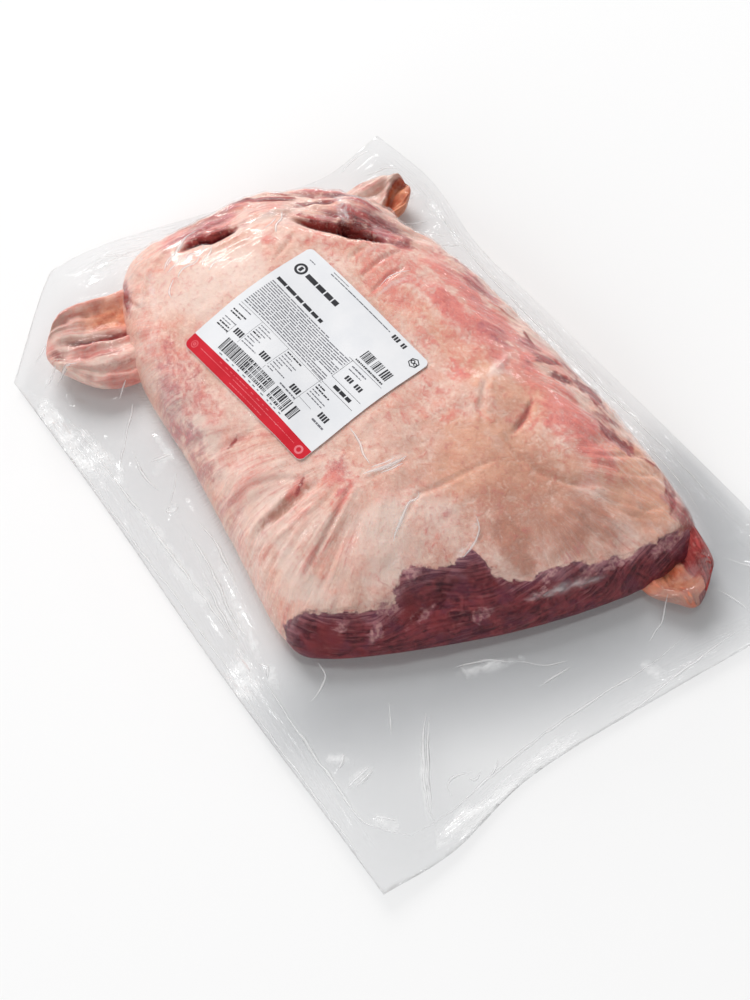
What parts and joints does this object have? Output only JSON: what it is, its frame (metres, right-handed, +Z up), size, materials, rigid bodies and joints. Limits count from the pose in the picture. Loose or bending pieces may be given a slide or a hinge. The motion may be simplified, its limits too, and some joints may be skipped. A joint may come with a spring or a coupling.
{
  "type": "vacuum-packed picanha beef cut",
  "caption": "Thick cut of raw beef with a fat cap, sealed in a flat clear vacuum bag with a wide skirt of film and a square paper label on top.",
  "frame": {"origin": "middle of the pack's bounding box, on the surface it lies on", "axes": "+X along the pack towards the cut's thick end of bare red muscle, +Y towards the top of the label's print, +Z up"},
  "size_m": [0.3727, 0.254, 0.0547],
  "materials": {
    "beef": "moist pale fat and dark red muscle under clinging clear film",
    "film": "clear gloss film",
    "label": "smooth white label with plain printed fields"
  },
  "bodies": {
    "root": {"bag": "beef", "label": "label"}
  },
  "joints": []
}
